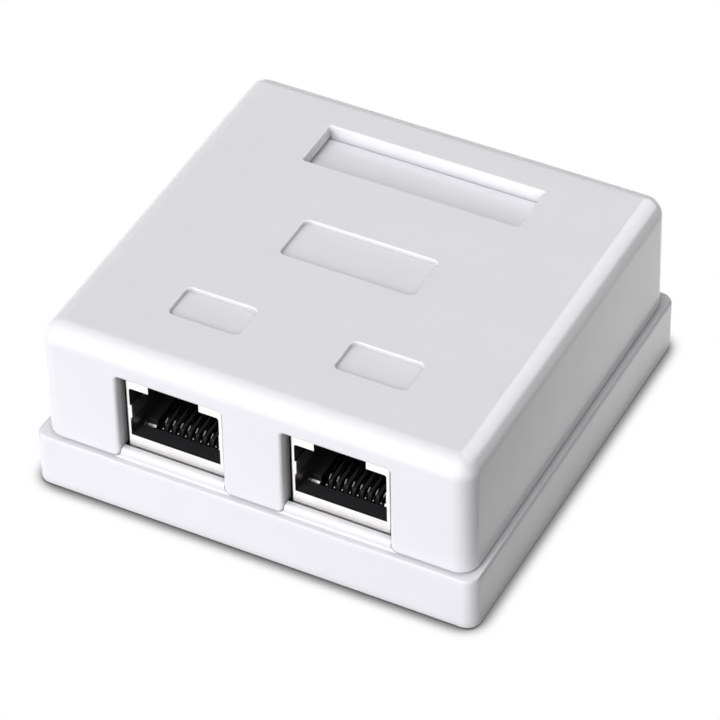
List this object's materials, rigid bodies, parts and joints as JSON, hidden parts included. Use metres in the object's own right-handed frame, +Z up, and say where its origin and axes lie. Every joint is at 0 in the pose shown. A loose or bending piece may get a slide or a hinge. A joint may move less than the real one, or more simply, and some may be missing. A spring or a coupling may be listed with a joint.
{
  "type": "network outlet box",
  "caption": "Low white surface-mount box with a lift-off cover and shielded modular sockets side by side in its front, for ending network cables on a wall or a desk.",
  "frame": {"origin": "middle of the tray's flat underside", "axes": "+Z up from the underside, -Y towards the sockets, +X to the right as seen from the front"},
  "size_m": [0.0584, 0.0566, 0.0242],
  "materials": {
    "tray_plastic": "gloss",
    "cover_plastic": "gloss",
    "label_plastic": "gloss",
    "screw_steel": "zinc plated",
    "board_laminate": "satin",
    "insulator_black": "semi-gloss",
    "shield_metal": "nickel plated",
    "contact_gold": "gold plated",
    "block_plastic": "satin",
    "blade_metal": "tin plated",
    "clamp_steel": "zinc plated"
  },
  "bodies": {
    "base": {"base_tray": "tray_plastic", "circuit_board": "board_laminate", "board_screws": "screw_steel", "clamp_screws": "screw_steel", "left_jack_housing": "insulator_black", "left_jack_shield": "shield_metal", "left_jack_contacts": "contact_gold", "left_contact_carrier": "insulator_black", "left_terminal_block": "block_plastic", "left_terminal_contacts": "blade_metal", "left_cable_clamp": "clamp_steel", "right_jack_housing": "insulator_black", "right_jack_shield": "shield_metal", "right_jack_contacts": "contact_gold", "right_contact_carrier": "insulator_black", "right_terminal_block": "block_plastic", "right_terminal_contacts": "blade_metal", "right_cable_clamp": "clamp_steel"},
    "cover_set": {"cover": "cover_plastic", "label_plate": "label_plastic", "cover_screw": "screw_steel"}
  },
  "joints": [
    {"name": "cover_lift", "type": "slide", "parent": "base", "child": "cover_set", "axis": [0, 0, 1], "range_m": [0, 0.04]}
  ]
}
